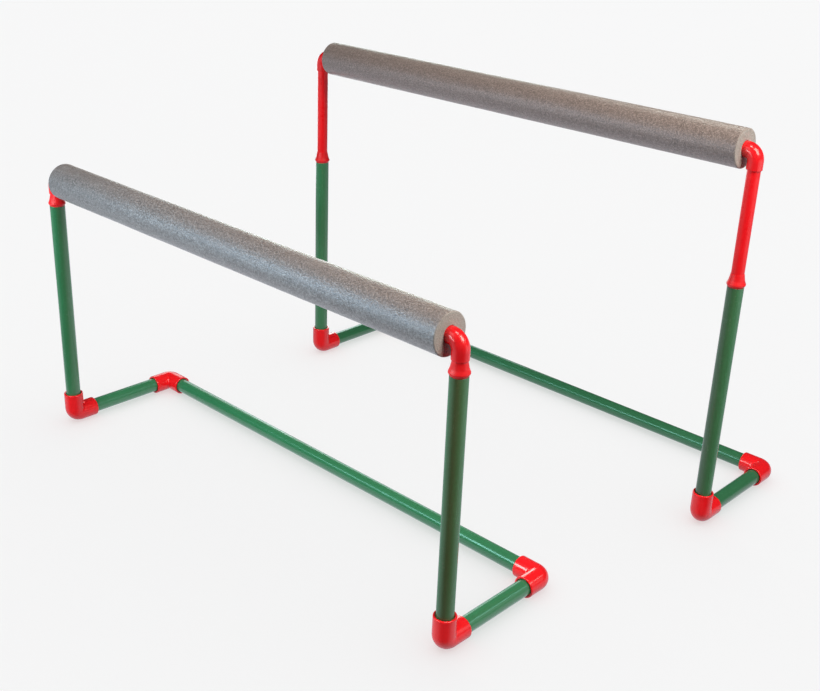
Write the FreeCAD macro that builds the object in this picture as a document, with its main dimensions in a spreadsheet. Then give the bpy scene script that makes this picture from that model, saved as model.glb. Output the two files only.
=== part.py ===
import FreeCAD, Part
import os
import PartDesign
import Sketcher
from FreeCAD import Placement, Rotation, Vector

# A pair of low parallel bars for children: two equal free-standing frames of
# plastic tube, the front one lowered and the rear one raised. Each has a floor
# base behind two posts, and a foam-covered bar on tubes that slide in the posts.
# World frame: +X along the bars from left to right, +Y from the front frame to
# the rear one, +Z up, floor at Z = 0, origin under the middle of the whole set.

doc = FreeCAD.newDocument("parallel_bars")
sheet = doc.addObject("Spreadsheet::Sheet", "Sizes")

# alias, millimetres, meaning
SIZES = [
    # base and posts
    ("tube_radius", 16.0, "outer radius of the green tube"),
    ("tube_wall", 2.0, "wall of the green tube"),
    ("post_spacing", 1158.0, "left post axis to right post axis"),
    ("base_depth", 268.0, "post axis to long floor tube axis"),
    ("floor_axis", 21.0, "height of the floor tube axes"),
    ("post_top", 520.0, "height of the post's upper rim"),
    # floor elbows
    ("elbow_radius", 21.2, "outer radius of a floor elbow's socket"),
    ("elbow_bend", 13.0, "centre line radius of the floor elbow's corner"),
    ("elbow_reach", 50.0, "corner to socket mouth"),
    ("elbow_stop", 22.0, "corner to the shoulder the tube butts on"),
    ("elbow_passage", 13.0, "radius of the hollow behind the shoulder"),
    ("elbow_lead", 0.5, "broken inner edge of the socket's mouth"),
    ("mouth_gap", 1.5, "radial gap round the tube in the socket's widened mouth"),
    ("mouth_depth", 4.5, "depth of the widened mouth"),
    ("elbow_round", 1.4, "rounded outer rim of the socket"),
    ("sole_cut", 5.0, "depth of the cut that leaves the elbow's flat sole"),
    ("socket_gap", 0.1, "radial clearance of a tube in its socket"),
    ("end_gap", 0.1, "gap between a tube's end and its shoulder"),
    # collars
    ("spigot_depth", 30.0, "how far the collar plugs into the post"),
    ("collar_height", 25.8, "rim of the post to the top of the collar"),
    ("collar_seat", 15.6, "radius of the collar's seat on the rim"),
    ("bead_radius", 18.2, "outer radius of the collar's bead"),
    ("bead_low", 1.0, "foot of the bead's slanting underside above the rim"),
    ("bead_belly", 4.4, "foot of the bead's widest part above the rim"),
    ("bead_high", 6.4, "top of the bead's widest part above the rim"),
    ("bead_round", 2.2, "rounding of the bead's upper edge"),
    ("bead_under", 2.0, "rounding of the bead's lower edge"),
    ("neck_radius", 15.6, "radius of the neck where the bead's flare eases off"),
    ("neck_foot", 13.0, "height of that point above the rim"),
    ("neck_mid", 14.1, "radius of the neck near its top"),
    ("neck_mid_height", 20.0, "height of that point above the rim"),
    ("neck_tip", 13.1, "radius of the neck at its top"),
    ("tip_round", 0.4, "rounding of the neck's top edge"),
    ("slide_gap", 0.05, "radial running clearance of the sliding tube"),
    ("touch_gap", 0.05, "gap between two faces that rest together"),
    # grip rings
    ("ring_low", 3.4, "underside of the ring's groove above the rim"),
    ("ring_high", 8.6, "top of the ring's groove above the rim"),
    ("ring_seat", 15.4, "radius of the ring's groove"),
    ("ring_overcut", 1.0, "how far inside the slider's surface the groove's cut starts"),
    ("ring_bore_gap", 0.03, "radial gap between ring and sliding tube"),
    ("ring_side_gap", 0.1, "gap above and below the ring in its groove"),
    ("ring_round", 0.8, "rounding of the ring's inner edges"),
    # sliding tubes and their guide bushes
    ("slider_radius", 12.5, "outer radius of the red sliding tube"),
    ("slider_wall", 2.0, "wall of the red sliding tube"),
    ("bush_height", 27.0, "height of the guide bush"),
    ("bush_floor", 2.0, "thickness of the guide bush's floor"),
    ("bush_hole", 9.0, "radius of the hole in that floor"),
    ("bush_nose", 1.2, "chamfer of the bush's lower outer edge"),
    # top elbows
    ("top_radius", 15.0, "outer radius of a top elbow"),
    ("top_bend", 19.0, "centre line radius of its sweep"),
    ("top_reach", 35.0, "corner to mouth"),
    ("top_stop", 19.2, "corner to the shoulder the tube butts on"),
    ("top_round", 2.0, "rounded outer rim of the mouth"),
    # bars
    ("bar_low", 581.0, "height of a lowered bar's axis"),
    ("bar_travel", 200.0, "how far a bar can be raised"),
    ("foam_radius", 37.5, "outer radius of the foam sleeve"),
    ("foam_gap_left", 36.0, "left post axis to the foam's end face"),
    ("foam_gap_right", 23.0, "right post axis to the foam's end face"),
    ("foam_bore", 12.7, "radius of the foam's bore"),
    ("foam_mouth", 15.2, "radius of the bore's wider right-hand end, over the elbow"),
    ("foam_mouth_depth", 12.8, "depth of the wider end"),
    ("foam_round", 2.0, "softened edge of the foam's ends"),
    # where the rear frame stands
    ("rear_shift_x", 87.0, "rear frame's offset along the bars"),
    ("rear_shift_y", 692.0, "rear frame's offset across the bars"),
]


class Size:
    """A length with its value and the sheet expression that gives it."""

    def __init__(self, value, text):
        self.value = float(value)
        self.text = text

    def join(self, other, sign):
        if not isinstance(other, Size):
            other = Size(other, repr(float(other)))
        if sign == "+":
            value = self.value + other.value
        elif sign == "-":
            value = self.value - other.value
        elif sign == "*":
            value = self.value * other.value
        else:
            value = self.value / other.value
        return Size(value, "(%s %s %s)" % (self.text, sign, other.text))

    def __add__(self, other):
        return self.join(other, "+")

    def __sub__(self, other):
        return self.join(other, "-")

    def __mul__(self, other):
        return self.join(other, "*")

    def __truediv__(self, other):
        return self.join(other, "/")

    def __neg__(self):
        return self.join(-1.0, "*")


class Dimensions:
    """Holds one Size for each alias of the sheet."""


dim = Dimensions()
for row, (alias, number, note) in enumerate(SIZES, start=1):
    sheet.set("A%d" % row, note)
    sheet.set("B%d" % row, repr(number))
    sheet.setAlias("B%d" % row, alias)
    setattr(dim, alias, Size(number, "Sizes." + alias))
doc.recompute()

ZERO = Size(0.0, "0")

# radii shared by several pieces
slider_bore = dim.slider_radius + dim.slide_gap
slider_inside = dim.slider_radius - dim.slider_wall
plug_radius = dim.tube_radius - dim.tube_wall - dim.slide_gap

X_AXIS, Y_AXIS, Z_AXIS = Vector(1, 0, 0), Vector(0, 1, 0), Vector(0, 0, 1)


# ---------------------------------------------------------------- sketches
def new_body(label):
    body = doc.addObject("PartDesign::Body", label)
    body.Label = label
    return body


def plane(body, role):
    for feature in body.Origin.OriginFeatures:
        if feature.Role == role:
            return feature
    raise RuntimeError("no plane " + role)


def sketch_on(body, name, role, lift=None):
    """A sketch on one of the body's own planes, lifted along that plane's normal.
    The normal of XY_Plane is +Z, of YZ_Plane +X and of XZ_Plane -Y."""
    sketch = body.newObject("Sketcher::SketchObject", name)
    sketch.AttachmentSupport = [(plane(body, role), "")]
    sketch.MapMode = "FlatFace"
    if lift is not None:
        sketch.AttachmentOffset = Placement(Vector(0, 0, lift.value), Rotation())
        sketch.setExpression("AttachmentOffset.Base.z", lift.text)
    return sketch


def dimension(sketch, size, *constraint):
    """Add a dimensional constraint driven by the sheet."""
    index = sketch.addConstraint(Sketcher.Constraint(*constraint, size.value))
    sketch.setExpression("Constraints[%d]" % index, size.text)


def hold(sketch, geo, pos, x, y):
    """Dimension one point of a sketch from its origin, or put it on an axis."""
    for kind, size, axis in (("DistanceX", x, -2), ("DistanceY", y, -1)):
        if abs(size.value) < 1e-9:
            sketch.addConstraint(Sketcher.Constraint("PointOnObject", geo, pos, axis))
        else:
            dimension(sketch, size, kind, -1, 1, geo, pos)


def circle(sketch, x, y, radius):
    curve = Part.Circle(Vector(x.value, y.value, 0), Z_AXIS, radius.value)
    geo = sketch.addGeometry(curve, False)
    dimension(sketch, radius, "Radius", geo)
    if abs(x.value) < 1e-9 and abs(y.value) < 1e-9:
        sketch.addConstraint(Sketcher.Constraint("Coincident", geo, 3, -1, 1))
    else:
        hold(sketch, geo, 3, x, y)


def outline(sketch, points):
    """A closed polygon through dimensioned points."""
    count = len(points)
    corners = [Vector(x.value, y.value, 0) for x, y in points]
    for i in range(count):
        sketch.addGeometry(Part.LineSegment(corners[i], corners[(i + 1) % count]), False)
    for i in range(count):
        sketch.addConstraint(Sketcher.Constraint("Coincident", i, 2, (i + 1) % count, 1))
    for i, (x, y) in enumerate(points):
        hold(sketch, i, 1, x, y)


def box_outline(sketch, x_low, x_high, y_low, y_high):
    outline(sketch, [(x_low, y_low), (x_high, y_low), (x_high, y_high), (x_low, y_high)])


# ---------------------------------------------------------------- features
def extrude(body, kind, sketch, length, turned, name):
    feature = body.newObject(kind, name)
    feature.Profile = sketch
    feature.Length = length.value
    feature.setExpression("Length", length.text)
    feature.Reversed = turned
    doc.recompute()


def pad(body, sketch, length, name, turned=False):
    """Pad along the sketch's normal, or against it when turned."""
    extrude(body, "PartDesign::Pad", sketch, length, turned, name)


def check_cut(body, before, name):
    if not body.Shape.Volume < before - 1e-6:
        raise RuntimeError("%s: %s removed nothing" % (body.Label, name))


def pocket(body, sketch, depth, name, turned=False):
    """Cut against the sketch's normal, or along it when turned."""
    before = body.Shape.Volume
    extrude(body, "PartDesign::Pocket", sketch, depth, turned, name)
    check_cut(body, before, name)


def revolve(body, sketch, name, angle=360.0, kind="PartDesign::Revolution"):
    """Turn a sketch about its vertical axis."""
    feature = body.newObject(kind, name)
    feature.Profile = sketch
    feature.ReferenceAxis = (sketch, ["V_Axis"])
    feature.Angle = angle
    doc.recompute()


def groove(body, sketch, name, angle=360.0):
    before = body.Shape.Volume
    revolve(body, sketch, name, angle, "PartDesign::Groove")
    check_cut(body, before, name)


def ring_edges(body, radius, along, *levels):
    """Names of the circular edges of one radius centred at the given levels along an axis."""
    found = []
    for level in levels:
        for i, edge in enumerate(body.Shape.Edges, start=1):
            if edge.Length < 1e-6:
                continue
            curve = edge.Curve
            if not hasattr(curve, "Radius") or abs(curve.Radius - radius.value) > 0.01:
                continue
            if abs(abs(curve.Axis.dot(along)) - 1.0) > 1e-6:
                continue
            if abs(curve.Center.dot(along) - level.value) < 0.01:
                found.append("Edge%d" % i)
    return found


def dress(body, kind, measure, edges, size, name):
    if not edges:
        raise RuntimeError("%s: no edges for %s" % (body.Label, name))
    base = body.Tip
    feature = body.newObject(kind, name)
    feature.Base = (base, edges)
    setattr(feature, measure, size.value)
    feature.setExpression(measure, size.text)
    doc.recompute()


def fillet(body, edges, radius, name):
    dress(body, "PartDesign::Fillet", "Radius", edges, radius, name)


def chamfer(body, edges, size, name):
    dress(body, "PartDesign::Chamfer", "Size", edges, size, name)


def place(body, x, y, z, turn=Rotation()):
    body.Placement = Placement(Vector(x.value, y.value, z.value), turn)
    body.setExpression("Placement.Base.x", x.text)
    body.setExpression("Placement.Base.y", y.text)
    body.setExpression("Placement.Base.z", z.text)


def turned_to(x_axis, y_axis):
    """The rotation that takes local X and Y to the given world directions."""
    return Rotation(x_axis, y_axis, x_axis.cross(y_axis), "XYZ")


# ---------------------------------------------------------------- tubes
ALONG_X = Rotation(Y_AXIS, 90)
ALONG_Y = Rotation(X_AXIS, -90)
ALONG_Z = Rotation()


def tube(label, radius, wall, length, turn, x, y, z):
    """A plain tube along its local Z, from 0 to its length."""
    body = new_body(label)
    sketch = sketch_on(body, label + "_section", "XY_Plane")
    circle(sketch, ZERO, ZERO, radius)
    circle(sketch, ZERO, ZERO, radius - wall)
    pad(body, sketch, length, label + "_wall")
    place(body, x, y, z, turn)
    return body


def green_tube(label, length, turn, x, y, z):
    return tube(label, dim.tube_radius, dim.tube_wall, length, turn, x, y, z)


def red_tube(label, length, turn, x, y, z):
    return tube(label, dim.slider_radius, dim.slider_wall, length, turn, x, y, z)


# ---------------------------------------------------------------- elbows
# An elbow's local origin is the centre of its bend: one leg runs along +X at local
# y = -bend, the other along +Y at local x = -bend.
def cut_circle(sketch, bend, outer):
    """The part of the elbow's section that lies outside the bend's axis."""
    half = (outer.value ** 2 - bend.value ** 2) ** 0.5
    top, bottom = Vector(0, half, 0), Vector(0, -half, 0)
    outermost = Vector(-bend.value - outer.value, 0, 0)
    arc = sketch.addGeometry(Part.Arc(top, outermost, bottom), False)
    chord = sketch.addGeometry(Part.LineSegment(top, bottom), False)
    # the sketcher may swap the arc's ends, so the upper one is looked up
    ends = sorted((1, 2), key=lambda pos: -sketch.getPoint(arc, pos).y)
    sketch.addConstraint(Sketcher.Constraint("Coincident", arc, ends[0], chord, 1))
    sketch.addConstraint(Sketcher.Constraint("Coincident", arc, ends[1], chord, 2))
    sketch.addConstraint(Sketcher.Constraint("PointOnObject", chord, 1, -2))
    sketch.addConstraint(Sketcher.Constraint("PointOnObject", chord, 2, -2))
    dimension(sketch, outer, "Radius", arc)
    hold(sketch, arc, 3, -bend, ZERO)


def mouth_edges(body, radius, leg):
    """Circular edges of one radius at both mouths."""
    return ring_edges(body, radius, X_AXIS, leg) + ring_edges(body, radius, Y_AXIS, leg)


def elbow_shell(body, outer, bend, leg, rim):
    """Swept corner with two straight legs and rounded rims."""
    label = body.Label
    corner = sketch_on(body, label + "_corner", "XZ_Plane")
    if bend.value < outer.value:
        # a full circle would cross the axis it is turned about
        cut_circle(corner, bend, outer)
    else:
        circle(corner, -bend, ZERO, outer)
    revolve(body, corner, label + "_sweep", 90.0)

    section = sketch_on(body, label + "_leg_x", "YZ_Plane")
    circle(section, -bend, ZERO, outer)
    pad(body, section, leg, label + "_pad_x")
    section = sketch_on(body, label + "_leg_y", "XZ_Plane")
    circle(section, -bend, ZERO, outer)
    pad(body, section, leg, label + "_pad_y", turned=True)
    fillet(body, mouth_edges(body, outer, leg), rim, label + "_rim")


def elbow_bores(body, bend, leg, radius, depth, tag):
    """The same round hole down both legs, from the mouth."""
    name = body.Label + "_" + tag
    hole = sketch_on(body, name + "_x", "YZ_Plane", leg)
    circle(hole, -bend, ZERO, radius)
    pocket(body, hole, depth, name + "_cut_x")
    hole = sketch_on(body, name + "_y", "XZ_Plane", -leg)
    circle(hole, -bend, ZERO, radius)
    pocket(body, hole, depth, name + "_cut_y", turned=True)


def elbow_sole(body, flat):
    """Narrow flat that the elbow stands on: under both legs when flat is "side",
    under the leg along local X when it is "leg"."""
    bend = dim.elbow_bend
    margin = dim.elbow_radius * 2.0
    low, high = -bend - margin, dim.elbow_reach + margin
    name = body.Label + "_sole"
    if flat == "side":
        sole = sketch_on(body, name, "XY_Plane", -dim.floor_axis)
        box_outline(sole, low, high, low, high)
    else:
        sole = sketch_on(body, name, "XZ_Plane", bend + dim.floor_axis)
        box_outline(sole, low, high, -margin, margin)
    pocket(body, sole, dim.sole_cut, body.Label + "_flat", turned=flat != "side")


def floor_elbow(label, flat, turn, x, y, z):
    body = new_body(label)
    bend, reach = dim.elbow_bend, dim.elbow_reach
    leg = reach - bend
    socket = dim.tube_radius + dim.socket_gap
    mouth = dim.tube_radius + dim.mouth_gap
    elbow_shell(body, dim.elbow_radius, bend, leg, dim.elbow_round)
    elbow_bores(body, bend, leg, dim.elbow_passage, reach, "passage")
    elbow_bores(body, bend, leg, socket, reach - dim.elbow_stop, "socket")
    elbow_bores(body, bend, leg, mouth, dim.mouth_depth, "mouth")
    chamfer(body, mouth_edges(body, mouth, leg), dim.elbow_lead, label + "_lead_in")
    elbow_sole(body, flat)
    place(body, x, y, z, turn)
    return body


def top_elbow(label, turn, x, y, z):
    body = new_body(label)
    bend, reach = dim.top_bend, dim.top_reach
    leg = reach - bend
    elbow_shell(body, dim.top_radius, bend, leg, dim.top_round)
    inside = sketch_on(body, label + "_inside", "XZ_Plane")
    circle(inside, -bend, ZERO, slider_inside)
    groove(body, inside, label + "_groove", 90.0)
    elbow_bores(body, bend, leg, slider_inside, leg, "passage")
    elbow_bores(body, bend, leg, slider_bore, reach - dim.top_stop, "socket")
    place(body, x, y, z, turn)
    return body


# ---------------------------------------------------------------- turned pieces
def collar(label, x, y, z):
    """Plug, flared bead and tapered neck. Local z = 0 is the rim of the post."""
    body = new_body(label)
    profile = sketch_on(body, label + "_profile", "XZ_Plane")
    # radius, height above the rim
    outline(
        profile,
        [
            (slider_bore, -dim.spigot_depth),
            (plug_radius, -dim.spigot_depth),
            (plug_radius, dim.touch_gap),
            (dim.collar_seat, dim.touch_gap),
            (dim.collar_seat, dim.bead_low),
            (dim.bead_radius, dim.bead_belly),
            (dim.bead_radius, dim.bead_high),
            (dim.neck_radius, dim.neck_foot),
            (dim.neck_mid, dim.neck_mid_height),
            (dim.neck_tip, dim.collar_height),
            (slider_bore, dim.collar_height),
        ],
    )
    revolve(body, profile, label + "_turned")
    # radius and height of the edge, rounding, name
    for radius, level, rounding, name in (
        (dim.bead_radius, dim.bead_high, dim.bead_round, "_bead_top"),
        (dim.bead_radius, dim.bead_belly, dim.bead_under, "_bead_under"),
        (dim.neck_tip, dim.collar_height, dim.tip_round, "_tip"),
    ):
        fillet(body, ring_edges(body, radius, Z_AXIS, level), rounding, label + name)
    seat = sketch_on(body, label + "_ring_seat", "XZ_Plane")
    inner = dim.slider_radius - dim.ring_overcut
    box_outline(seat, inner, dim.ring_seat, dim.ring_low, dim.ring_high)
    groove(body, seat, label + "_ring_groove")
    place(body, x, y, z)
    return body


def grip_ring(label, x, y, z):
    """Ring in the collar's groove. Local z = 0 is the rim of the post."""
    body = new_body(label)
    profile = sketch_on(body, label + "_profile", "XZ_Plane")
    inner = dim.slider_radius + dim.ring_bore_gap
    outer = dim.ring_seat - dim.touch_gap
    low, high = dim.ring_low + dim.ring_side_gap, dim.ring_high - dim.ring_side_gap
    box_outline(profile, inner, outer, low, high)
    revolve(body, profile, label + "_turned")
    fillet(body, ring_edges(body, inner, Z_AXIS, low, high), dim.ring_round, label + "_lips")
    place(body, x, y, z)
    return body


def guide_bush(label, x, y, z):
    """Cup on the lower end of the sliding tube. Local z = 0 is its underside."""
    body = new_body(label)
    profile = sketch_on(body, label + "_profile", "XZ_Plane")
    # radius, height
    outline(
        profile,
        [
            (dim.bush_hole, ZERO),
            (plug_radius, ZERO),
            (plug_radius, dim.bush_height),
            (slider_bore, dim.bush_height),
            (slider_bore, dim.bush_floor),
            (dim.bush_hole, dim.bush_floor),
        ],
    )
    revolve(body, profile, label + "_turned")
    chamfer(body, ring_edges(body, plug_radius, Z_AXIS, ZERO), dim.bush_nose, label + "_nose")
    place(body, x, y, z)
    return body


# ---------------------------------------------------------------- foam
def foam_sleeve(label, x, y, z):
    """Thick foam grip along local X. Its left end stops just short of the left elbow;
    its wider right-hand end swallows the right elbow's leg."""
    body = new_body(label)
    length = dim.post_spacing - dim.foam_gap_left - dim.foam_gap_right
    section = sketch_on(body, label + "_section", "YZ_Plane")
    circle(section, ZERO, ZERO, dim.foam_radius)
    circle(section, ZERO, ZERO, dim.foam_bore)
    pad(body, section, length, label + "_sleeve")
    edges = ring_edges(body, dim.foam_radius, X_AXIS, ZERO, length)
    fillet(body, edges, dim.foam_round, label + "_soft_edge")
    mouth = sketch_on(body, label + "_mouth", "YZ_Plane", length)
    circle(mouth, ZERO, ZERO, dim.foam_mouth)
    pocket(body, mouth, dim.foam_mouth_depth, label + "_mouth_cut")
    place(body, x, y, z)
    return body


# ---------------------------------------------------------------- one frame
FOOT_TURN = turned_to(Y_AXIS, Z_AXIS)
# per hand: direction along X to the frame's middle, turn of the back elbow, of the top elbow
HANDS = {
    "left": (1.0, turned_to(-Y_AXIS, X_AXIS), turned_to(X_AXIS, -Z_AXIS)),
    "right": (-1.0, turned_to(-X_AXIS, -Y_AXIS), turned_to(-Z_AXIS, -X_AXIS)),
}


def base_side(side, hand, x, y):
    """Foot elbow under the post, short floor tube and back elbow."""
    inward, back_turn, _ = HANDS[hand]
    bend, low = dim.elbow_bend, dim.floor_axis
    inset = dim.elbow_stop + dim.end_gap
    back = y + dim.base_depth
    return [
        green_tube(
            "%s_base_short_tube_%s" % (side, hand),
            dim.base_depth - inset * 2.0, ALONG_Y, x, y + inset, low,
        ),
        floor_elbow(
            "%s_foot_elbow_%s" % (side, hand), "leg", FOOT_TURN, x, y + bend, low + bend
        ),
        floor_elbow(
            "%s_back_elbow_%s" % (side, hand), "side", back_turn,
            x + bend * inward, back - bend, low,
        ),
    ]


def post_set(side, hand, x, y):
    """Post with the collar and grip ring at its rim."""
    foot = dim.floor_axis + dim.elbow_stop + dim.end_gap
    top = dim.post_top
    return [
        green_tube("%s_post_%s" % (side, hand), top - foot, ALONG_Z, x, y, foot),
        collar("%s_collar_%s" % (side, hand), x, y, top),
        grip_ring("%s_grip_ring_%s" % (side, hand), x, y, top),
    ]


def slider_set(side, hand, x, y, bar):
    """Sliding tube with the guide bush below and the top elbow above."""
    inward, _, top_turn = HANDS[hand]
    # the bush meets the plug's lower end when the bar is fully raised
    length = (
        dim.bar_low + dim.bar_travel - dim.top_stop - dim.post_top
        + dim.spigot_depth + dim.bush_height - dim.bush_floor
    )
    foot = bar - dim.top_stop - dim.end_gap - length
    return [
        red_tube("%s_inner_tube_%s" % (side, hand), length, ALONG_Z, x, y, foot),
        guide_bush(
            "%s_guide_bush_%s" % (side, hand), x, y, foot - dim.bush_floor - dim.touch_gap
        ),
        top_elbow(
            "%s_top_elbow_%s" % (side, hand), top_turn,
            x + dim.top_bend * inward, y, bar - dim.top_bend,
        ),
    ]


def frame(side, left, y, bar):
    """All pieces of one frame. left, y is the left post's axis; bar is the bar's height."""
    inset = dim.elbow_stop + dim.end_gap
    grip = dim.top_stop + dim.end_gap
    made = [
        green_tube(
            side + "_base_long_tube", dim.post_spacing - inset * 2.0, ALONG_X,
            left + inset, y + dim.base_depth, dim.floor_axis,
        )
    ]
    for hand, x in (("left", left), ("right", left + dim.post_spacing)):
        made += base_side(side, hand, x, y)
        made += post_set(side, hand, x, y)
        made += slider_set(side, hand, x, y, bar)
    made.append(
        red_tube(
            side + "_bar_tube", dim.post_spacing - grip * 2.0, ALONG_X, left + grip, y, bar
        )
    )
    made.append(foam_sleeve(side + "_foam_sleeve", left + dim.foam_gap_left, y, bar))
    return made


# ---------------------------------------------------------------- the pair
# across the bars the set reaches from the front foam to the rear frame's back elbows
front_x = -(dim.rear_shift_x + dim.post_spacing) / 2.0
front_y = -(dim.rear_shift_y + dim.base_depth + dim.elbow_radius - dim.foam_radius) / 2.0
rear_x = front_x + dim.rear_shift_x
rear_y = front_y + dim.rear_shift_y

pieces = frame("front", front_x, front_y, dim.bar_low)
pieces += frame("rear", rear_x, rear_y, dim.bar_low + dim.bar_travel)
doc.recompute()

faults = []
for item in doc.Objects:
    if "Invalid" in item.State or "Error" in item.State:
        faults.append("%s: %s" % (item.Label, item.State))
for piece in pieces:
    shape = piece.Shape
    if shape.isNull() or not shape.isValid() or len(shape.Solids) != 1 or shape.Volume <= 0:
        faults.append("%s: bad shape" % piece.Label)
if faults:
    raise RuntimeError("; ".join(faults))

os.makedirs("parts", exist_ok=True)
for piece in pieces:
    piece.Shape.exportStep(os.path.join("parts", piece.Label + ".step"))
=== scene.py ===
import math

import bpy
import numpy as np
from mathutils import Matrix, Vector, noise


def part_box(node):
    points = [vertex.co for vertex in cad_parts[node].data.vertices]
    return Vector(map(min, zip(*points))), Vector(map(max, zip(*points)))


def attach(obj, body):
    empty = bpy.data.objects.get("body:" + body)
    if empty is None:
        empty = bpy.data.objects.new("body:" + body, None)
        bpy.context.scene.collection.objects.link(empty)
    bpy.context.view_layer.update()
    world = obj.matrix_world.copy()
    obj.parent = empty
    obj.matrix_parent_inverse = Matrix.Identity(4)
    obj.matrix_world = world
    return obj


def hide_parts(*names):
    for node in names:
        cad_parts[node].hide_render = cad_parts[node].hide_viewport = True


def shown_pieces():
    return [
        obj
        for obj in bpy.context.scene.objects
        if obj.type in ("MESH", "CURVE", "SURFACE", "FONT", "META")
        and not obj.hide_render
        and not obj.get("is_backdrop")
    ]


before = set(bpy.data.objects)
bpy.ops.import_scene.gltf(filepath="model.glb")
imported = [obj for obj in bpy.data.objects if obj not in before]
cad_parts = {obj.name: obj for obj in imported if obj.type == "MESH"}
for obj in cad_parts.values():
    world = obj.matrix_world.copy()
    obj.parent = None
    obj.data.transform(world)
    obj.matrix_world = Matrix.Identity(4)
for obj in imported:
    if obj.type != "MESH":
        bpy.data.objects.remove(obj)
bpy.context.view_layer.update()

MM = 0.001  # shapes are worked out in mm and built in metres


def centre(node):
    low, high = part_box(node)
    return (low + high) / 2


# ------------------------------------------------------------------ sizes, in mm
def half_width(node, axis):
    low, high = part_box(node)
    return (getattr(high, axis) - getattr(low, axis)) / 2 / MM


# outer radii, read from the loaded pieces
R_GREEN = half_width("front_post_left", "x")
R_RED = half_width("front_inner_tube_left", "x")
R_TOP = half_width("front_top_elbow_left", "y")
R_FOOT = half_width("front_foot_elbow_left", "x")
R_FOAM = half_width("front_foam_sleeve", "y")
WALL = 2.0  # of every tube
SLIP = 0.05  # gap between pieces that fit closely

POST_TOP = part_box("front_post_left")[1].z
COLLAR_TOP = (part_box("front_collar_left")[1].z - POST_TOP) / MM  # above the post's rim
FLOOR_AXIS = centre("front_base_long_tube").z / MM  # height of the base tubes' axes

# An elbow's bend is the radius of its axis, and its reach runs from the axes' corner to a mouth.
FOOT_BEND = 13.0
TOP_BEND = 19.0
FOOT_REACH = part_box("front_foot_elbow_left")[1].z / MM - FLOOR_AXIS
top_low, top_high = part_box("front_top_elbow_left")
TOP_REACH = (top_high.x - top_low.x) / MM - R_TOP


# ------------------------------------------------------------------ mesh helpers
def clamped_acos(cosine):
    return math.acos(max(-1.0, min(1.0, float(cosine))))


def rounded(corners, steps, lead):
    """Closed outline in mm from corners (a, b, corner radius). A supporting point at
    distance lead from each corner keeps long flats flat when shaded."""
    bends = []  # start, end and arc points of each corner
    for i, (*corner, radius) in enumerate(corners):
        corner = np.array(corner, float)
        to_last = np.array(corners[i - 1][:2], float) - corner
        to_next = np.array(corners[(i + 1) % len(corners)][:2], float) - corner
        last_length, next_length = np.linalg.norm(to_last), np.linalg.norm(to_next)
        to_last, to_next = to_last / last_length, to_next / next_length
        if radius <= 0:
            bends.append((corner, corner, [corner]))
            continue
        half = clamped_acos(to_last @ to_next) / 2
        setback = min(radius / math.tan(half), last_length * 0.49, next_length * 0.49)
        radius = setback * math.tan(half)
        inward = (to_last + to_next) / np.linalg.norm(to_last + to_next)
        middle = corner + inward * (radius / math.sin(half))
        start, end = corner + to_last * setback, corner + to_next * setback
        spoke_a, spoke_b = start - middle, end - middle
        turn = clamped_acos(float(spoke_a @ spoke_b) / (radius * radius))
        arc = []
        for k in range(steps + 1):
            t = k / steps
            blend = spoke_a * math.sin((1 - t) * turn) + spoke_b * math.sin(t * turn)
            arc.append(middle + blend / math.sin(turn))
        bends.append((start, end, arc))
    points = []
    for i, (_, end, arc) in enumerate(bends):
        points.extend(arc)
        next_start = bends[(i + 1) % len(bends)][0]
        gap = np.linalg.norm(next_start - end)
        if gap > 1e-6 and gap > 4 * lead:
            inset = min(lead, gap * 0.3)
            along = (next_start - end) / gap
            points.append(end + along * inset)
            points.append(next_start - along * inset)
    kept = [points[0]]
    for point in points[1:]:
        if np.linalg.norm(point - kept[-1]) > 1e-5:
            kept.append(point)
    if np.linalg.norm(kept[0] - kept[-1]) < 1e-5:
        kept.pop()
    return np.array(kept)


def grid_object(name, points, loc, mask, ring_values, sharp=38.0):
    """A closed surface from a grid of points (rings, around, 3) in metres. loc holds the points
    the textures use, and the attribute named by mask has one value per ring."""
    rings, count = points.shape[:2]
    verts = points.reshape(-1, 3)
    i, j = np.meshgrid(np.arange(rings), np.arange(count), indexing="ij")
    i2, j2 = (i + 1) % rings, (j + 1) % count
    quads = np.stack([i * count + j, i2 * count + j, i2 * count + j2, i * count + j2], -1)
    quads = quads.reshape(-1, 4)
    a, b, c, d = (verts[quads[:, k]] for k in range(4))
    volume = float(np.einsum("ij,ij->i", a, np.cross(b, c)).sum()
                   + np.einsum("ij,ij->i", a, np.cross(c, d)).sum())
    if volume < 0:  # the faces point inwards
        quads = quads[:, ::-1]
    mesh = bpy.data.meshes.new(name)
    mesh.from_pydata(verts.tolist(), [], quads.tolist())
    mesh.update()
    attribute = mesh.attributes.new("loc", "FLOAT_VECTOR", "POINT")
    attribute.data.foreach_set("vector", loc.reshape(-1, 3).astype(np.float32).ravel())
    attribute = mesh.attributes.new(mask, "FLOAT", "POINT")
    attribute.data.foreach_set("value", np.repeat(np.asarray(ring_values, np.float32), count))
    mesh.shade_smooth()
    mesh.set_sharp_from_angle(angle=math.radians(sharp))
    ob = bpy.data.objects.new(name, mesh)
    bpy.context.scene.collection.objects.link(ob)
    return ob


def frame_of(x_axis, y_axis, origin):
    """Matrix that places a piece, given where its local X and Y point."""
    x, y = Vector(x_axis), Vector(y_axis)
    matrix = Matrix((x, y, x.cross(y))).transposed().to_4x4()
    matrix.translation = Vector(origin)
    return np.array(matrix, float)


def put(points, place):
    return points @ place[:3, :3].T + place[:3, 3]


def lathe(name, outline, place, around, rim):
    """Turns an outline of (radius, height) in mm round the local Z axis."""
    angles = np.linspace(0, 2 * math.pi, around, endpoint=False)
    radius, z = outline[:, 0][:, None] * MM, outline[:, 1][:, None] * MM
    points = np.stack([radius * np.cos(angles), radius * np.sin(angles), z + 0 * angles], -1)
    return grid_object(name, put(points, place), points, "rim", rim)


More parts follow.
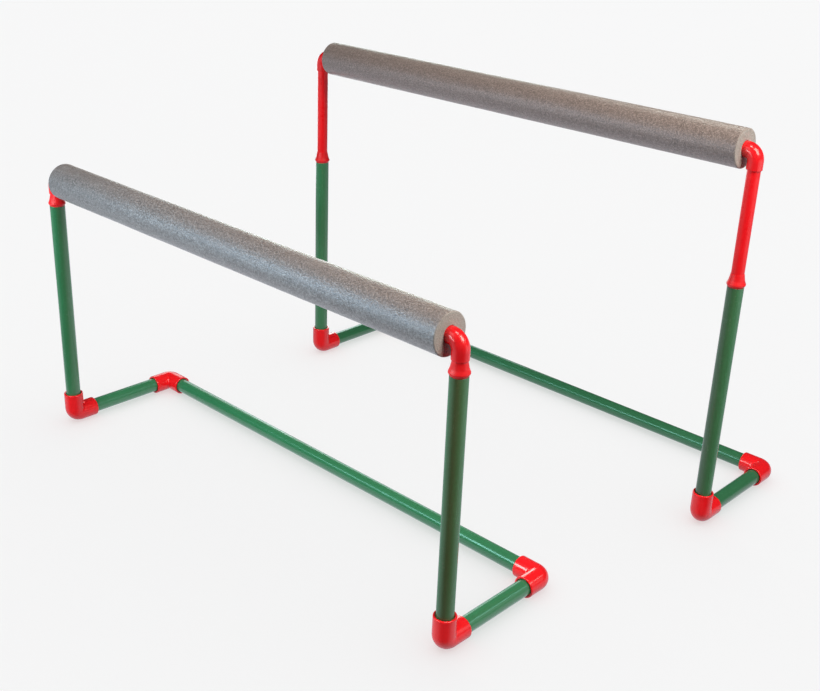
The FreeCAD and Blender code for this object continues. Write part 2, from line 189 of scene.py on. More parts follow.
# ------------------------------------------------------------------ materials
def rgba(colour):
    """Adds alpha to a colour and lets a socket through."""
    return (*colour, 1.0) if isinstance(colour, tuple) else colour


class Tree:
    """Short calls for building shader nodes. Any value may be a number or a socket."""

    def __init__(self, node_tree):
        self.tree = node_tree
        self.tree.nodes.clear()

    def set(self, socket, value):
        if isinstance(value, bpy.types.NodeSocket):
            self.tree.links.new(value, socket)
        else:
            socket.default_value = value

    def node(self, kind, inputs=None, **settings):
        node = self.tree.nodes.new(kind)
        for key, value in settings.items():
            setattr(node, key, value)
        for key, value in (inputs or {}).items():
            self.set(node.inputs[key], value)
        return node

    def attribute(self, name, output="Fac"):
        return self.node("ShaderNodeAttribute", attribute_name=name).outputs[output]

    def math(self, operation, a, b):
        return self.node("ShaderNodeMath", {0: a, 1: b}, operation=operation).outputs[0]

    def times(self, a, b):
        return self.math("MULTIPLY", a, b)

    def plus(self, a, b):
        return self.math("ADD", a, b)

    def weighted(self, a, share_a, b, share_b):
        return self.plus(self.times(a, share_a), self.times(b, share_b))

    def scaled(self, vector, factors):
        inputs = {0: vector, 1: factors}
        return self.node("ShaderNodeVectorMath", inputs, operation="MULTIPLY").outputs[0]

    def noise(self, vector, scale, detail, rough, distort=0.0):
        inputs = {"Scale": scale, "Detail": detail, "Roughness": rough,
                  "Distortion": distort, "Vector": vector}
        return self.node("ShaderNodeTexNoise", inputs).outputs["Fac"]

    def cells(self, vector, scale):
        inputs = {"Scale": scale, "Vector": vector}
        return self.node("ShaderNodeTexVoronoi", inputs).outputs["Distance"]

    def ramp(self, factor, stops):
        node = self.node("ShaderNodeValToRGB", {0: factor})
        elements = node.color_ramp.elements
        while len(elements) < len(stops):
            elements.new(0.5)
        for element, (position, colour) in zip(elements, stops):
            element.position = position
            element.color = rgba(colour)
        return node.outputs[0]

    def mix(self, factor, a, b):
        inputs = {0: factor, 6: rgba(a), 7: rgba(b)}  # 6 and 7 are the colour sockets A and B
        return self.node("ShaderNodeMix", inputs, data_type="RGBA").outputs[2]

    def range(self, value, span, to, interpolation="LINEAR"):
        """Maps value from span to the range to, clamped."""
        inputs = dict(enumerate((value, *span, *to)))
        node = self.node("ShaderNodeMapRange", inputs, interpolation_type=interpolation)
        return node.outputs[0]

    def bump(self, height, distance, strength, normal=None):
        inputs = {"Strength": strength, "Distance": distance, "Height": height}
        if normal is not None:
            inputs["Normal"] = normal
        return self.node("ShaderNodeBump", inputs).outputs[0]


class Material(Tree):
    """The nodes of a new material with a Principled shader."""

    def __init__(self, name):
        self.material = bpy.data.materials.new(name)
        self.material.use_nodes = True
        super().__init__(self.material.node_tree)
        output = self.node("ShaderNodeOutputMaterial")
        self.shader = self.node("ShaderNodeBsdfPrincipled")
        self.set(output.inputs["Surface"], self.shader.outputs[0])

    def surface(self, **values):
        """Sets shader inputs; Base_Color stands for "Base Color"."""
        for key, value in values.items():
            self.set(self.shader.inputs[key.replace("_", " ")], value)


def plastic(name, base, deep, pale, rough, drawn, peel, coat=0.0, shine=0.5):
    """Moulded PVC or, when drawn, extruded tube with faint lines along its length.
    peel is the depth of the orange peel and shine the specular level."""
    t = Material(name)
    loc = t.attribute("loc", "Vector")
    rim = t.attribute("rim")
    # slow drift of the pigment, and a finer cloud inside it
    drift = t.noise(loc, scale=9.0, detail=3.0, rough=0.55)
    cloud = t.noise(loc, scale=160.0, detail=4.0, rough=0.6)
    tone = t.weighted(drift, 0.65, cloud, 0.35)
    colour = t.ramp(tone, [(0.30, deep), (0.5, base), (0.72, pale)])
    # extrusion lines, or flow marks from moulding
    if drawn:
        lines = t.noise(t.scaled(loc, (1.0, 1.0, 0.012)), scale=900.0, detail=3.0, rough=0.65)
        broad = t.noise(t.scaled(loc, (1.0, 1.0, 0.02)), scale=240.0, detail=2.0, rough=0.5)
        streak = t.weighted(lines, 0.6, broad, 0.4)
        colour = t.mix(t.range(streak, span=(0.42, 0.62), to=(0.0, 0.16)), colour, pale)
    else:
        streak = t.noise(loc, scale=420.0, detail=4.0, rough=0.6, distort=0.6)
    # specks of handling wear, and paler rims
    wear = t.noise(loc, scale=55.0, detail=6.0, rough=0.72)
    scuff = t.noise(t.scaled(loc, (1.0, 1.0, 0.25)), scale=1400.0, detail=2.0, rough=0.7)
    worn = t.times(t.range(wear, span=(0.60, 0.78), to=(0.0, 1.0)),
                   t.range(scuff, span=(0.55, 0.70), to=(0.0, 1.0)))
    patches = t.noise(loc, scale=700.0, detail=3.0, rough=0.6)
    edge = t.times(rim, t.range(patches, span=(0.35, 0.65), to=(0.35, 1.0)))
    colour = t.mix(t.times(worn, 0.22), colour, pale)
    colour = t.mix(t.times(edge, 0.35), colour, pale)
    # roughness: uneven, and higher where worn or streaked
    uneven = t.noise(loc, scale=38.0, detail=5.0, rough=0.6)
    roughness = t.range(uneven, span=(0.3, 0.7), to=(rough * 0.82, rough * 1.25))
    roughness = t.plus(roughness, t.times(worn, 0.25))
    streaked = t.range(streak, span=(0.4, 0.65), to=(0.0, 1.0))
    roughness = t.plus(roughness, t.times(streaked, 0.05 if drawn else 0.03))
    # orange peel, then the lines, then scratches
    orange_peel = t.noise(loc, scale=230.0, detail=2.0, rough=0.5)
    normal = t.bump(orange_peel, distance=0.00045 * peel, strength=0.35)
    streak_depth = 0.00012 if drawn else 0.00010
    normal = t.bump(streak, distance=streak_depth, strength=0.35, normal=normal)
    normal = t.bump(worn, distance=0.00010, strength=0.4, normal=normal)
    t.surface(Base_Color=colour, Roughness=roughness, IOR=1.52, Specular_IOR_Level=shine,
              Normal=normal)
    if coat:
        t.surface(Coat_Weight=coat, Coat_Roughness=0.08)
    return t.material


def foam_material(name, calm, relief):
    """Closed-cell foam: a slightly shiny pitted skin, and matt open cells on the cut ends.
    calm evens out the colour of the skin's grain and relief is how deep it is."""
    t = Material(name)
    loc = t.attribute("loc", "Vector")
    cut = t.attribute("cut")
    # the skin's grain: cells of two sizes, fine dust between them, and slow drift
    grain = t.cells(loc, scale=380.0)
    small = t.cells(loc, scale=520.0)
    fine = t.noise(loc, scale=470.0, detail=3.0, rough=0.6)
    coarse = t.noise(loc, scale=240.0, detail=2.0, rough=0.6)
    cloud = t.noise(loc, scale=26.0, detail=4.0, rough=0.6)
    speck = t.weighted(fine, 0.65, coarse, 0.35)
    skin = t.ramp(speck, [
        (0.39, (0.065, 0.050, 0.042)),
        (0.50, (0.215, 0.171, 0.147)),
        (0.61, (0.45, 0.375, 0.33)),
    ])
    clouded = t.range(cloud, span=(0.35, 0.7), to=(0.0, 0.28))
    skin = t.mix(clouded, skin, (0.25, 0.187, 0.158))
    pale_cells = t.range(grain, span=(0.0, 0.25), to=(0.42, 0.0))
    skin = t.mix(pale_cells, skin, (0.45, 0.375, 0.335))
    dark_cells = t.range(small, span=(0.0, 0.20), to=(0.55, 0.0))
    skin = t.mix(dark_cells, skin, (0.060, 0.048, 0.044))
    skin = t.mix(calm, skin, (0.232, 0.186, 0.161))
    # cut ends: paler, beige, with small dark pores
    pore = t.cells(loc, scale=760.0)
    end = t.ramp(t.noise(loc, scale=420.0, detail=4.0, rough=0.7), [
        (0.32, (0.292, 0.280, 0.255)),
        (0.55, (0.42, 0.417, 0.392)),
        (0.72, (0.53, 0.53, 0.508)),
    ])
    pores = t.range(pore, span=(0.0, 0.25), to=(0.55, 0.0))
    end = t.mix(pores, end, (0.165, 0.155, 0.14))
    colour = t.mix(cut, skin, end)
    # the cut ends are rough and lose the skin's shine
    cut_rough, skin_shine = 0.95, 1.0
    skin_rough = t.range(fine, span=(0.3, 0.7), to=(0.30, 0.50))
    skin_rough = t.times(skin_rough, t.math("SUBTRACT", 1.0, cut))
    roughness = t.plus(skin_rough, t.times(cut, cut_rough))
    specular = t.times(t.math("SUBTRACT", 1.0, cut), skin_shine)
    normal = t.bump(coarse, distance=0.0009, strength=0.6 * relief)
    normal = t.bump(fine, distance=0.0009, strength=0.8 * relief, normal=normal)
    normal = t.bump(grain, distance=0.0005, strength=0.5 * relief, normal=normal)
    t.surface(Base_Color=colour, Roughness=roughness, IOR=1.5, Specular_IOR_Level=specular,
              Sheen_Weight=0.12, Sheen_Roughness=0.5, Sheen_Tint=(0.88, 0.88, 0.90, 1.0),
              Normal=normal)
    return t.material


def hidden_material(name, base, rough):
    """Mottled black rubber or plastic, with a fine grain, on pieces inside the posts."""
    t = Material(name)
    loc = t.node("ShaderNodeTexCoord").outputs["Object"]
    tone = t.noise(loc, scale=350.0, detail=5.0, rough=0.6)
    dark, light = (tuple(share * c for c in base) for share in (0.7, 1.5))
    colour = t.ramp(tone, [(0.3, dark), (0.7, light)])
    roughness = t.range(tone, span=(0.3, 0.7), to=(rough - 0.1, rough + 0.1))
    grain = t.noise(loc, scale=2500.0, detail=2.0, rough=0.6)
    t.surface(Base_Color=colour, Roughness=roughness,
              Normal=t.bump(grain, distance=0.0002, strength=0.5))
    return t.material


GREEN = plastic("pvc_green_tube", base=(0.042, 0.200, 0.088), deep=(0.038, 0.184, 0.080),
                pale=(0.053, 0.226, 0.106), rough=0.21, drawn=True, peel=0.4)
RED_TUBE = plastic("pvc_red_tube", base=(0.88, 0.011, 0.016), deep=(0.83, 0.009, 0.013),
                   pale=(0.91, 0.020, 0.026), rough=0.27, drawn=True, peel=0.35, shine=0.3)
MOULDED = dict(base=(0.82, 0.011, 0.016), deep=(0.77, 0.009, 0.013),
               pale=(0.87, 0.024, 0.030), drawn=False)
RED = plastic("moulded_red", rough=0.19, peel=0.55, coat=0.15, shine=0.45, **MOULDED)
RED_SOFT = plastic("moulded_red_collar", rough=0.36, peel=0.5, shine=0.32, **MOULDED)
FOAM = {
    "front": foam_material("grey_foam", calm=0.20, relief=1.15),
    "rear": foam_material("grey_foam_smoother", calm=0.34, relief=0.95),
}
RUBBER = hidden_material("black_rubber", base=(0.02, 0.02, 0.021), rough=0.75)
BUSH = hidden_material("dark_moulded_bush", base=(0.035, 0.035, 0.038), rough=0.5)


# ------------------------------------------------------------------ pieces
def finish_piece(ob, material, body, node):
    ob.data.materials.append(material)
    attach(ob, body)
    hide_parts(node)


# local X and Y of a tube that runs along each axis
TUBE_AXES = {
    "x": ((0, 1, 0), (0, 0, 1)),
    "y": ((0, 0, 1), (1, 0, 0)),
    "z": ((1, 0, 0), (0, 1, 0)),
}
GREEN_TUBE = dict(radius=R_GREEN, material=GREEN, slot="tube_green")
SLIDER_TUBE = dict(radius=R_RED, material=RED_TUBE, slot="slider_red")


def tube(node, axis, body, radius, material, slot):
    """Sawn tube: its ends have a small broken edge outside and inside."""
    low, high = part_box(node)
    k = "xyz".index(axis)
    length = (high[k] - low[k]) / MM
    start = (low + high) / 2
    start[k] = low[k]
    inner = radius - WALL
    corners = [(radius, 0, 0.45), (radius, length, 0.45), (inner, length, 0.35), (inner, 0, 0.35)]
    outline = rounded(corners, steps=4, lead=0.6)
    # rings about every 40 mm along the walls
    dense = []
    for here, after in zip(outline, np.roll(outline, -1, axis=0)):
        dense.append(here)
        gap = abs(after[1] - here[1])
        if gap > 60:
            parts = int(gap // 40)
            for step in range(1, parts):
                dense.append(here + (after - here) * step / parts)
    outline = np.array(dense)
    rim = (outline[:, 1] < 0.5) | (outline[:, 1] > length - 0.5)
    ob = lathe(node + "_shape", outline, frame_of(*TUBE_AXES[axis], start), 96, rim)
    finish_piece(ob, material, body, node)


def swept(rings, bend, around, crease, skin_end, grow=0.0):
    """Points of an elbow, with the bend's centre as origin, leg a along +X and leg b along +Y.
    Each ring is (radius, where, value, rim). where is "a" or "b" for a distance in mm from
    the axes' corner, "a share" or "b share" for a share of the way from the bend to
    skin_end, and "turn" for degrees round the bend. crease is the least radius of the bend's
    inner side, and grow is added to every radius."""
    softness = 1.2 * MM  # how gently the inner side meets the crease
    least = crease * MM
    points = np.zeros((len(rings), len(around), 3))
    for i, (radius, where, value, _) in enumerate(rings):
        radius = radius + grow
        out = (bend + radius * np.cos(around)) * MM  # distance from the bend's centre line
        turn_radius = 0.5 * (out + least + np.sqrt((out - least) ** 2 + softness**2))
        start = -out + turn_radius
        side = radius * MM * np.sin(around)
        if where == "turn":
            angle = math.radians(value)
            x = start - turn_radius * math.sin(angle)
            y = start - turn_radius * math.cos(angle)
            points[i] = np.stack([x, y, side], -1)
            continue
        if where.endswith("share"):
            distance = start + (skin_end * MM - bend * MM - start) * value
        else:
            distance = np.full_like(out, (value - bend) * MM)
        x, y = (distance, -out) if where[0] == "a" else (-out, distance)
        points[i] = np.stack([x, y, side], -1)
    return points


def elbow_rings(radius, reach, shoulder, bore, passage, lip, lead, wide, deep):
    """Rings over the outer skin from mouth a to mouth b, and back through the passage."""
    lip_steps = 6
    skin = []  # (radius, distance, rim) from the mouth's face back along the outside
    for k in range(lip_steps + 1):
        angle = math.radians(90.0 * k / lip_steps)
        skin.append((radius - lip + lip * math.sin(angle), reach - lip + lip * math.cos(angle), 1.0))
    skin.append((radius, reach - lip - 0.5, 0.25))
    shares = (1.0, 0.75, 0.5, 0.3, 0.15, 0.06)
    # (radius, distance, rim) from the face inwards: lead-in, widened mouth, socket, passage
    socket = [
        (wide + lead + 0.15, reach, 0.8),
        (wide + lead, reach - 0.05, 0.5),
        (wide, reach - lead * 1.15, 0.0),
        (wide, reach - deep + 0.25, 0.0),
        (wide - 0.2, reach - deep, 0.0),
        (bore, reach - deep - 0.05, 0.0),
        (bore, reach - deep - 0.6, 0.0),
        (bore, shoulder + 0.4, 0.0),
        (bore, shoulder, 0.0),
        (passage, shoulder, 0.0),
    ]
    return [
        *((r, "a", distance, rim) for r, distance, rim in skin),
        *((radius, "a share", share, 0.0) for share in shares),
        *((radius, "turn", float(angle), 0.0) for angle in np.linspace(0, 90, 19)),
        *((radius, "b share", share, 0.0) for share in reversed(shares)),
        *((r, "b", distance, rim) for r, distance, rim in reversed(skin)),
        *((r, "b", distance, rim) for r, distance, rim in socket),
        *((passage, "turn", float(angle), 0.0) for angle in np.linspace(90, 0, 10)),
        *((r, "a", distance, rim) for r, distance, rim in reversed(socket)),
    ]


def elbow(node, place, body, slot, bend, crease, on_floor, **section):
    radius = section["radius"]
    around = list(np.linspace(0, 2 * math.pi, 104, endpoint=False))
    # extra columns carry the thin parting line left by the two halves of the mould
    for line in (0.0, math.pi):
        for offset in (-0.55, -0.28, 0.28, 0.55):
            around.append((line + offset / radius) % (2 * math.pi))
    around = np.array(sorted(around))
    rings = elbow_rings(**section)
    skin_end = section["reach"] - section["lip"] - 0.9
    points = swept(rings, bend, around, crease, skin_end)
    # the parting line stands out on the outside only
    ridge_height, ridge_width = 0.11, 0.30
    ridge = ridge_height * np.exp(-((np.abs(np.sin(around)) * radius / ridge_width) ** 2))
    outer = np.array([float(abs(ring[0] - radius) < 1e-6) for ring in rings])
    push = (outer[:, None] * ridge[None, :]) * MM
    outward = swept(rings, bend, around, crease, skin_end, grow=1.0) - points
    size = np.linalg.norm(outward, axis=-1, keepdims=True)
    outward = np.where(size > 1e-9, outward / np.maximum(size, 1e-9), 0)
    points = points + outward * push[..., None]
    placed = put(points, place)
    if on_floor:
        placed[..., 2] = np.maximum(placed[..., 2], 0.0)
    ob = grid_object(node + "_shape", placed, points, "rim", [ring[3] for ring in rings])
    finish_piece(ob, RED, body, node)


# lip is the outer rounding of a mouth and lead the chamfer inside it. The mouth is widened to
# the radius wide over the depth deep, and the socket of radius bore ends at the shoulder.
FOOT = dict(radius=R_FOOT, bend=FOOT_BEND, reach=FOOT_REACH, shoulder=22.0,
            bore=R_GREEN + 0.1, passage=13.0, lip=1.7, lead=0.5, wide=R_GREEN + 1.5, deep=4.5,
            crease=2.2, slot="floor_elbow_red", on_floor=True)
TOP = dict(radius=R_TOP, bend=TOP_BEND, reach=TOP_REACH, shoulder=19.2,
           bore=R_RED + SLIP, passage=R_RED - WALL, lip=1.6, lead=0.2, wide=R_RED + 0.3, deep=1.2,
           crease=2.0, slot="top_elbow_red", on_floor=False)


def collar(node, place, body):
    """Collar on a post's rim, with a plug inside the post and a waisted top."""
    bore, plug = R_RED + SLIP, R_GREEN - WALL - SLIP
    # radius, height above the post's rim, corner radius
    corners = [
        (bore, -30.0, 0.3), (plug, -30.0, 0.8), (plug, 0.05, 0.0),
        (15.6, 0.05, 0.25), (15.6, 1.0, 0.0), (18.2, 4.4, 2.2), (18.2, 6.4, 2.6),
        (15.6, 13.0, 10.0), (14.1, 20.0, 8.0), (13.1, COLLAR_TOP, 0.35),
        (bore, COLLAR_TOP, 0.2), (bore, 8.6, 0.0),
        (15.4, 8.6, 0.2), (15.4, 3.4, 0.2), (bore, 3.4, 0.0),
    ]
    outline = rounded(corners, steps=8, lead=0.5)
    rim = np.abs(outline[:, 1] - COLLAR_TOP) < 0.5
    ob = lathe(node + "_shape", outline, place, 104, rim)
    finish_piece(ob, RED_SOFT, body, node)


def foam_rings(length):
    """Rings of the sleeve: radius, distance along, cut share, share of the surface noise."""
    soft = 2.2  # rounding of the outer edges
    spacing = 1.8
    mouth, bore, deep = R_TOP + 0.15, R_RED + 0.2, 12.8  # mouth takes the elbow to this depth
    face = R_FOAM - soft
    corner = []  # radius, run along the axis, cut share
    for k in range(9):
        angle = math.radians(90.0 * k / 8)
        corner.append((face + soft * math.sin(angle), soft * math.cos(angle), 1.0 - k / 8))
    rings = [(radius, soft - run, cut, 1.0) for radius, run, cut in corner]
    count = int(round((length - 2 * soft) / spacing))
    for k in range(1, count):
        rings.append((R_FOAM, soft + (length - 2 * soft) * k / count, 0.0, 1.0))
    rings += [(radius, length - soft + run, cut, 1.0) for radius, run, cut in reversed(corner)]
    for k in range(1, 12):
        rings.append((face - (face - mouth - 0.8) * k / 11, length, 1.0, 1.0))
    rings += [
        (mouth + 0.2, length - 0.15, 1.0, 0.3),
        (mouth, length - 0.6, 1.0, 0.0),
        (mouth, length - deep, 1.0, 0.0),
        (bore, length - deep, 1.0, 0.0),
        (bore, 0.6, 1.0, 0.0),
        (bore + 0.2, 0.15, 1.0, 0.3),
    ]
    for k in range(12, 0, -1):
        rings.append((face - (face - bore - 0.8) * k / 12, 0.0, 1.0, 1.0))
    return np.array(rings)


def foam(node, body, seed, material):
    """Foam sleeve: a dense skin with a pitted surface, a slightly uneven outline and cut ends."""
    low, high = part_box(node)
    length = (high.x - low.x) / MM
    middle = (low + high) / 2
    around = np.linspace(0, 2 * math.pi, 132, endpoint=False)
    radius, along, cut, noisy = foam_rings(length).T
    base = np.stack([
        np.repeat(along[:, None], len(around), 1) * MM,
        radius[:, None] * np.cos(around) * MM,
        radius[:, None] * np.sin(around) * MM,
    ], -1)
    # outward direction of each ring: radial on the skin, along the axis on the cut ends
    radial = np.stack([0 * around, np.cos(around), np.sin(around)], -1)[None]
    endwise = np.where(along > length / 2, 1.0, -1.0)[:, None, None] * np.array([1.0, 0, 0])
    share = cut[:, None, None]
    outward = radial * (1 - share) + endwise * share
    outward = outward / np.linalg.norm(outward, axis=-1, keepdims=True)
    # surface noise in mm, from the slow outline to single cells
    shift = Vector((seed * 3.1, seed * 1.7, -seed * 2.3))
    amount = np.zeros(base.shape[:2])
    for i in range(base.shape[0]):
        if noisy[i] <= 0:
            continue
        for j in range(base.shape[1]):
            point = Vector(base[i, j])
            slow, wave, pit, cell = (
                noise.noise(point * scale + shift) for scale in (9.0, 42.0, 310.0, 620.0)
            )
            if 1.0 - cut[i] > 0.5:
                amount[i, j] = 0.30 * slow + 0.16 * wave + 0.20 * pit + 0.10 * cell
            else:
                amount[i, j] = 0.10 * wave + 0.16 * pit + 0.14 * cell
    amount = np.minimum(amount, 0.45)
    points = base + outward * (amount * noisy[:, None])[..., None] * MM
    placed = points + np.array([low.x, middle.y, middle.z])
    loc = base + np.array([seed * 0.37, seed * 0.11, 0.0])
    ob = grid_object(node + "_skin", placed, loc, "cut", cut, sharp=60.0)
    finish_piece(ob, material, body, node)


for seed, side in enumerate(("front", "rear"), start=1):
    stand, bar = side + "_stand", side + "_bar"
    tube(side + "_base_long_tube", "x", stand, **GREEN_TUBE)
    for hand in ("left", "right"):
        post = f"{side}_post_{hand}"
        tube(f"{side}_base_short_tube_{hand}", "y", stand, **GREEN_TUBE)
        tube(post, "z", stand, **GREEN_TUBE)
        tube(f"{side}_inner_tube_{hand}", "z", bar, **SLIDER_TUBE)
        x, y, _ = centre(post)
        rim_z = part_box(post)[1].z
        base_z = FLOOR_AXIS * MM
        back_y = centre(side + "_base_long_tube").y
        bar_z = centre(side + "_bar_tube").z
        foot_bend, top_bend = FOOT_BEND * MM, TOP_BEND * MM
        foot = frame_of((0, 1, 0), (0, 0, 1), (x, y + foot_bend, base_z + foot_bend))
        if hand == "left":
            back = frame_of((0, -1, 0), (1, 0, 0), (x + foot_bend, back_y - foot_bend, base_z))
            top = frame_of((1, 0, 0), (0, 0, -1), (x + top_bend, y, bar_z - top_bend))
        else:
            back = frame_of((-1, 0, 0), (0, -1, 0), (x - foot_bend, back_y - foot_bend, base_z))
            top = frame_of((0, 0, -1), (-1, 0, 0), (x - top_bend, y, bar_z - top_bend))
        elbow(f"{side}_foot_elbow_{hand}", foot, stand, **FOOT)
        elbow(f"{side}_back_elbow_{hand}", back, stand, **FOOT)
        elbow(f"{side}_top_elbow_{hand}", top, bar, **TOP)
        collar(f"{side}_collar_{hand}", frame_of((1, 0, 0), (0, 1, 0), (x, y, rim_z)), stand)
        for part, material in (("grip_ring", RUBBER), ("guide_bush", BUSH)):
            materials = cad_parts[f"{side}_{part}_{hand}"].data.materials
            materials.clear()
            materials.append(material)
    tube(side + "_bar_tube", "x", bar, **SLIDER_TUBE)
    foam(side + "_foam_sleeve", bar, seed, FOAM[side])


# ------------------------------------------------------------------ floor
scene = bpy.context.scene
HALF_FLOOR = 30.0
floor_mesh = bpy.data.meshes.new("floor")
floor_corners = [(x * HALF_FLOOR, y * HALF_FLOOR, 0) for x, y in ((-1, -1), (1, -1), (1, 1), (-1, 1))]
floor_mesh.from_pydata(floor_corners, [], [(0, 1, 2, 3)])
floor = bpy.data.objects.new("floor", floor_mesh)
scene.collection.objects.link(floor)
floor.location.z = -0.0002  # just under the feet
pale = Material("pale_floor")
pale.surface(Base_Color=(0.36, 0.36, 0.36, 1), Emission_Color=(1.0, 1.0, 1.0, 1.0),
             Emission_Strength=0.556, Roughness=0.9, Specular_IOR_Level=0.1)
floor_mesh.materials.append(pale.material)
floor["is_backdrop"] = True
# glow lights stand in for the floor's bounce
for flag in ("visible_diffuse", "visible_glossy", "visible_transmission", "visible_shadow"):
    setattr(floor, flag, False)


# ------------------------------------------------------------------ world
def build_world():
    """A dim room above and the floor's bounce below, both darker towards the viewer."""
    to_viewer = (0.68, -0.733, 0.0)
    world = bpy.data.worlds.new("studio")
    scene.world = world
    world.use_nodes = True
    t = Tree(world.node_tree)
    output = t.node("ShaderNodeOutputWorld")
    room = t.node("ShaderNodeBackground", {"Color": (0.93, 0.98, 1.08, 1.0)})
    direction = t.node("ShaderNodeTexCoord").outputs["Generated"]
    facing = t.node("ShaderNodeVectorMath", {0: direction, 1: to_viewer},
                    operation="DOT_PRODUCT").outputs["Value"]
    height = t.node("ShaderNodeSeparateXYZ", {0: direction}).outputs["Z"]
    smooth = dict(interpolation="SMOOTHSTEP")
    above = t.range(facing, span=(0.40, 0.85), to=(0.05, 0.02), **smooth)
    below = t.range(facing, span=(0.20, 0.75), to=(0.60, 0.0), **smooth)
    strength = t.range(height, span=(-0.03, 0.03), to=(below, above), **smooth)
    t.set(room.inputs["Strength"], strength)
    # the camera itself sees a plain pale backdrop
    plain = t.node("ShaderNodeBackground", {"Color": (1.0, 1.0, 1.0, 1.0), "Strength": 0.92})
    pick = t.node("ShaderNodeMixShader", {1: room.outputs[0], 2: plain.outputs[0]})
    t.set(pick.inputs[0], t.node("ShaderNodeLightPath").outputs["Is Camera Ray"])
    t.set(output.inputs["Surface"], pick.outputs[0])


build_world()


# ------------------------------------------------------------------ lights
def is_green(name):
    return "_post_" in name or "_base_" in name


LONG_AND_ELBOW = ("front_base_long", "front_back_elbow_right")
# groups of pieces that a light may be limited to, each with the test of a piece's name
GROUPS = {
    "things": lambda name: True,
    "not_rear_base": lambda name: "rear_base" not in name,
    "rear_base": lambda name: "rear_base" in name,
    "not_green": lambda name: not is_green(name),
    "foam": lambda name: "foam" in name,
    "front_foam": lambda name: name.startswith("front_foam"),
    "rear_foam": lambda name: name.startswith("rear_foam"),
    "green": is_green,
    "strip_green": lambda name: "_post_left" in name
    or ("_base_" in name and not name.startswith("front_base_long")),
    "front_long": lambda name: name.startswith("front_base_long"),
    "front_long_end": lambda name: name.startswith(LONG_AND_ELBOW),
    "red": lambda name: not is_green(name) and "foam" not in name,
    "feet": lambda name: "foot_elbow" in name or "back_elbow" in name,
    "front_base": lambda name: name.startswith(("front_base", "front_back_elbow_right")),
    "near_post": lambda name: name.startswith("front_post_right"),
    "posts": lambda name: "_post_" in name,
    "front": lambda name: name.startswith("front")
    and ("_base_" in name or "foam" in name or "_post_left" in name),
    "rear": lambda name: name.startswith("rear") and (is_green(name) or "foam" in name),
}
receivers = {}
for group, wanted in GROUPS.items():
    receivers[group] = bpy.data.collections.new("lit_" + group)
    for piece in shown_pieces():
        if wanted(piece.name):
            receivers[group].objects.link(piece)
receivers["floor"] = bpy.data.collections.new("lit_floor")
receivers["floor"].objects.link(floor)


def add_light(name, kind, energy, group):
    light = bpy.data.lights.new(name, kind)
    light.energy = energy
    ob = bpy.data.objects.new(name, light)
    ob.light_linking.receiver_collection = receivers[group]
    scene.collection.objects.link(ob)
    return light, ob


def area_light(name, size, energy, colour, group):
    light, ob = add_light(name, "AREA", energy, group)
    light.shape = "RECTANGLE"
    light.size, light.size_y = size
    light.color = colour
    return ob


MIDDLE = (0.0, 0.0, 0.3)
KEY = ((1.84, -0.06, 2.14), MIDDLE, (1.1, 1.1))
LOW_BACK = ((-1.74, 1.88, 0.75), MIDDLE, (1.1, 1.1))
WINDOW = ((-0.42, -1.50, 0.84), (0.1, -0.2, 0.35), (1.45, 0.42))
STRIP = ((-0.62, -1.50, 0.98), (0.1, -0.2, 0.2), (1.45, 0.20))
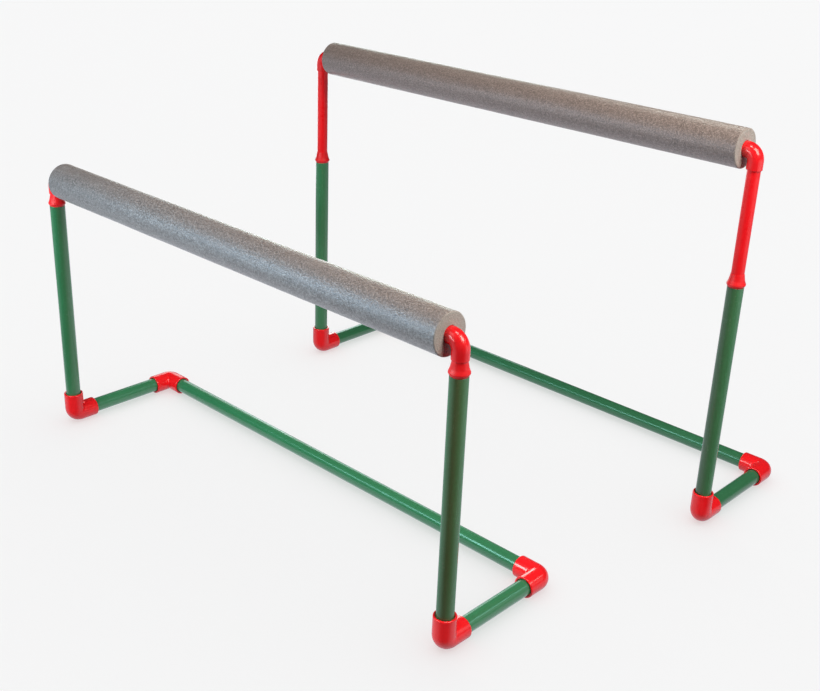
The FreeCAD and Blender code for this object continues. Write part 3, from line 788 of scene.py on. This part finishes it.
# name, (place, aim, size) in metres, power in watts, colour, group
SOFTBOXES = [
    ("key_right", KEY, 50.0, (1.0, 0.87, 0.77), "not_rear_base"),
    ("key_right_base", KEY, 38.0, (1.0, 0.87, 0.77), "rear_base"),
    ("fill_front", ((-0.06, -1.84, 2.14), MIDDLE, (1.1, 1.1)), 6.0, (1.0, 0.95, 0.95), "things"),
    ("low_back", LOW_BACK, 18.0, (0.85, 1.0, 0.95), "not_green"),
    ("low_back_green", LOW_BACK, 9.0, (0.75, 1.0, 0.95), "green"),
    ("left_window", ((-0.27, -1.50, 0.84), (0.1, -0.2, 0.35), (1.3, 0.42)),
     15.5, (0.60, 0.87, 1.10), "front_foam"),
    ("left_window_far", WINDOW, 13.5, (0.75, 0.83, 0.95), "rear_foam"),
    ("left_window_red", WINDOW, 17.0, (1.0, 0.93, 0.95), "red"),
    ("left_strip", STRIP, 17.0, (0.47, 1.0, 0.96), "strip_green"),
    ("left_strip_long", STRIP, 8.0, (0.47, 1.0, 0.96), "front_long"),
    ("long_strip", ((-0.42, -1.50, 1.02), (0.1, -0.2, 0.2), (0.55, 0.45)),
     9.0, (0.47, 1.0, 0.96), "front_long_end"),
    ("left_far", ((-1.3, 0.6, 0.5), (0.0, 0.0, 0.35), (0.8, 0.6)), 3.5, (0.9, 1.0, 1.0), "things"),
    ("right_far", ((1.5, 0.3, 0.5), (0.0, 0.0, 0.35), (0.8, 0.6)), 1.5, (0.9, 1.0, 1.0), "things"),
    ("back_strip", ((1.70, 0.95, 1.22), (0.3, 0.0, 0.1), (0.66, 0.17)),
     2.6, (0.5, 1.0, 0.97), "front_base"),
    ("overhead", ((0.75, -0.39, 2.77), MIDDLE, (0.6, 0.45)), 13.0, (1.0, 0.94, 0.90), "things"),
    ("warm_front", ((1.7, -1.9, 0.9), MIDDLE, (1.2, 1.2)), 22.0, (1.0, 0.03, 0.0), "posts"),
    ("warm_near", ((1.7, -1.9, 0.9), MIDDLE, (0.5, 1.2)), 9.0, (1.0, 0.0, 0.0), "near_post"),
    ("side_near", ((-1.2, -1.47, 0.9), (0.5, -0.45, 0.3), (0.7, 0.9)),
     25.0, (0.30, 1.0, 0.85), "near_post"),
    ("feet_front", ((1.5, -1.9, 1.1), (0.2, 0.0, 0.05), (1.2, 1.2)), 12.0, (1.0, 0.3, 0.3), "feet"),
    ("top_back", ((-0.2, 1.7, 2.3), (0.0, 0.2, 0.6), (1.4, 0.6)), 17.0, (0.96, 1.0, 0.93), "foam"),
]
for name, (place, aim, size), power, colour, group in SOFTBOXES:
    ob = area_light(name, size, power, colour, group)
    ob.location = Vector(place)
    ob.rotation_mode = "QUATERNION"
    ob.rotation_quaternion = (Vector(place) - Vector(aim)).to_track_quat("Z", "Y")

# the bright floor close to the frames, shining up: name, strength, colour, group
GLOW_SIZE = (2.3, 1.86)
GLOWS = [
    ("glow_front", 0.50, (0.98, 0.94, 1.03), "front"),
    ("glow_rear", 0.32, (1.0, 0.86, 0.95), "rear"),
    ("glow_near_post", 0.08, (0.9, 1.0, 1.0), "near_post"),
    ("glow_red", 0.16, (1.0, 0.9, 0.95), "red"),
]
# sizes as the light stores them, so that the power matches its area
for name, strength, colour, group in GLOWS:
    ob = area_light(name, GLOW_SIZE, 0.0, colour, group)
    ob.data.energy = strength * math.pi * ob.data.size * ob.data.size_y
    ob.location = (-0.43, 0.29, -0.002)
    ob.rotation_euler = (math.pi, 0, 0)

sun, sun_ob = add_light("floor_light", "SUN", 3.2, "floor")
sun.angle = math.radians(150)
sun_ob.rotation_euler = (math.radians(-12), math.radians(10), 0)

# ------------------------------------------------------------------ camera
camera = bpy.data.cameras.new("camera")
camera_ob = bpy.data.objects.new("camera", camera)
scene.collection.objects.link(camera_ob)
right = Vector((0.722448, 0.690434, 0.037011))
up = Vector((-0.300964, 0.265826, 0.915837))
back = Vector((0.622486, -0.672784, 0.399841))
view = Matrix((right, up, back)).transposed().to_4x4()
view.translation = Vector((1.596338, -1.733014, 1.284757))
camera_ob.matrix_world = view
camera.sensor_width = 36.0
camera.lens = 51.614
camera.clip_start, camera.clip_end = 0.02, 200.0
scene.camera = camera_ob
scene.view_settings.view_transform = "Standard"
scene.view_settings.look = "None"
